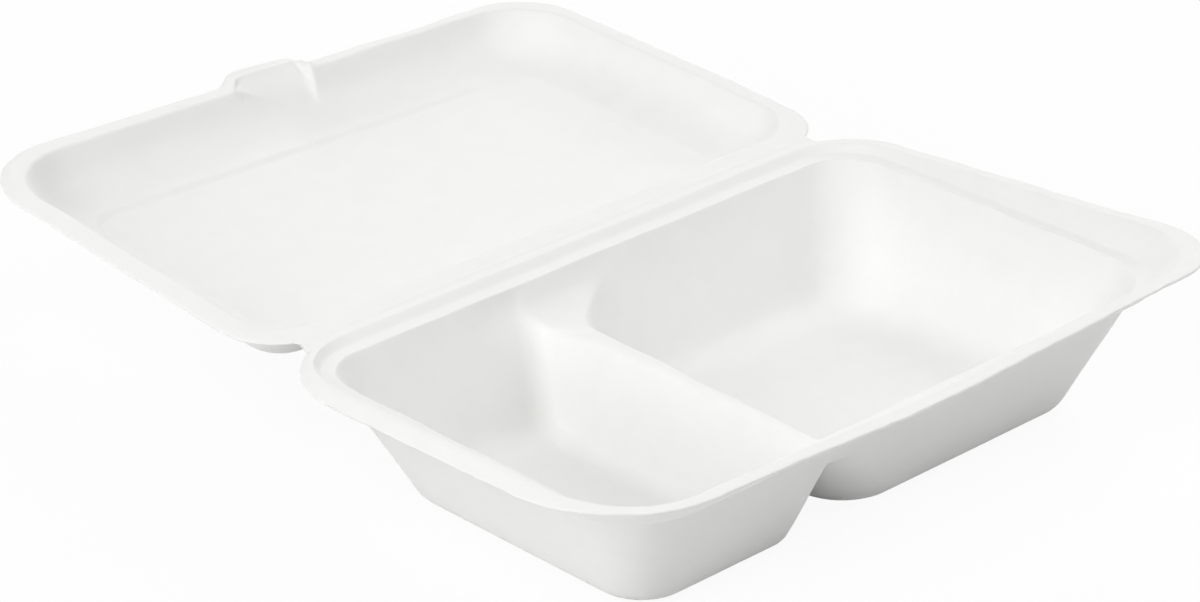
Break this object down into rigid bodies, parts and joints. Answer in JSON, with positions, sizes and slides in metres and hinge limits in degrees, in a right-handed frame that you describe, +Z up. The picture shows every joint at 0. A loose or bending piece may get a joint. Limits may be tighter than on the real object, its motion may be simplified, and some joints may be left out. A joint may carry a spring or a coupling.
{
  "type": "hinged food container",
  "caption": "Hinged clamshell food tray moulded from sugarcane fibre, with a small and a large compartment under a shallow lid with a lock tab.",
  "frame": {"origin": "under the middle of the base tray, on the table it stands on", "axes": "+Z up, X along the crease, crease and opened lid towards +Y"},
  "size_m": [0.257, 0.3174, 0.054],
  "materials": {
    "fibre": "matt bleached moulded pulp"
  },
  "bodies": {
    "base": {"base_tray": "fibre"},
    "cover": {"lid": "fibre"}
  },
  "joints": [
    {"name": "crease_fold", "type": "hinge", "parent": "base", "child": "cover", "pos_m": [0, 0.08, 0.0453], "axis": [1, 0, 0], "range_deg": [0, 175.5]}
  ]
}
